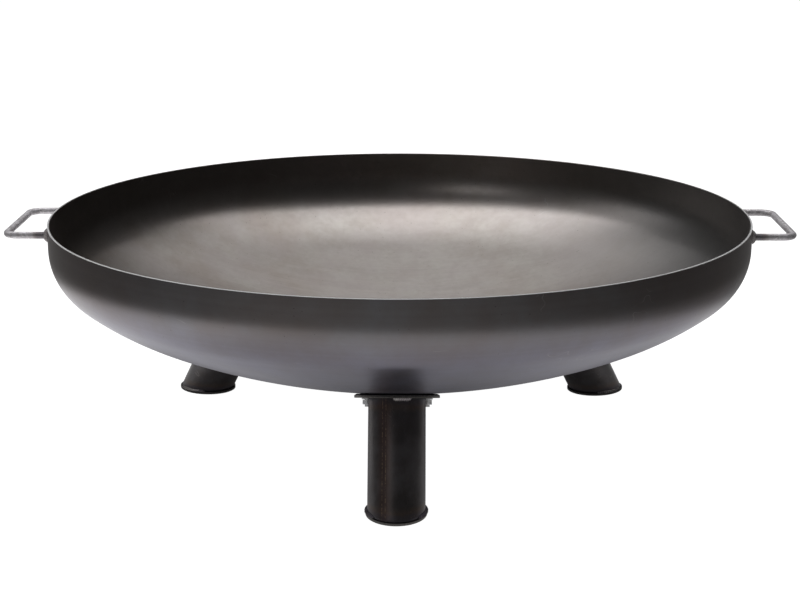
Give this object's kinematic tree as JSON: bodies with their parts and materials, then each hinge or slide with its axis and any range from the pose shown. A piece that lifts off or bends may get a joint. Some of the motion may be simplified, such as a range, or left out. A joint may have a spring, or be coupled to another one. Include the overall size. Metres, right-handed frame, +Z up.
{
  "type": "fire bowl",
  "caption": "Shallow dished steel fire bowl with a short upright rim, standing on splayed tube legs bolted underneath, with a bent round-bar handle on each side.",
  "frame": {"origin": "on the ground under the centre of the bowl, which is the bottom centre of the bounding box", "axes": "+Z up along the bowl's axis, +X through the right-hand handle, -Y through the front leg"},
  "size_m": [0.893, 0.8, 0.258],
  "materials": {
    "bowl_steel": "raw hot-rolled steel with dark mill scale outside, rubbed satin inside",
    "bar_steel": "bare round bar, scratched",
    "tube_steel": "dark drawn tube with a length seam",
    "plate_steel": "laser-cut mill-scale plate, bare edge",
    "weld_steel": "rippled as-welded bead",
    "zinc": "bright zinc plate"
  },
  "bodies": {
    "root": {"bowl": "bowl_steel", "handle_left": "bar_steel", "handle_right": "bar_steel", "handle_weld_left_front": "weld_steel", "handle_weld_left_back": "weld_steel", "handle_weld_right_front": "weld_steel", "handle_weld_right_back": "weld_steel", "top_plate_front": "plate_steel", "leg_tube_front": "tube_steel", "foot_plate_front": "plate_steel", "top_weld_front_outer": "weld_steel", "top_weld_front_inner": "weld_steel", "foot_weld_front_a": "weld_steel", "foot_weld_front_b": "weld_steel", "stud_front_a": "zinc", "washer_front_a": "zinc", "nut_front_a": "zinc", "stud_front_b": "zinc", "washer_front_b": "zinc", "nut_front_b": "zinc", "top_plate_right": "plate_steel", "leg_tube_right": "tube_steel", "foot_plate_right": "plate_steel", "top_weld_right_outer": "weld_steel", "top_weld_right_inner": "weld_steel", "foot_weld_right_a": "weld_steel", "foot_weld_right_b": "weld_steel", "stud_right_a": "zinc", "washer_right_a": "zinc", "nut_right_a": "zinc", "stud_right_b": "zinc", "washer_right_b": "zinc", "nut_right_b": "zinc", "top_plate_left": "plate_steel", "leg_tube_left": "tube_steel", "foot_plate_left": "plate_steel", "top_weld_left_outer": "weld_steel", "top_weld_left_inner": "weld_steel", "foot_weld_left_a": "weld_steel", "foot_weld_left_b": "weld_steel", "stud_left_a": "zinc", "washer_left_a": "zinc", "nut_left_a": "zinc", "stud_left_b": "zinc", "washer_left_b": "zinc", "nut_left_b": "zinc"}
  },
  "joints": []
}
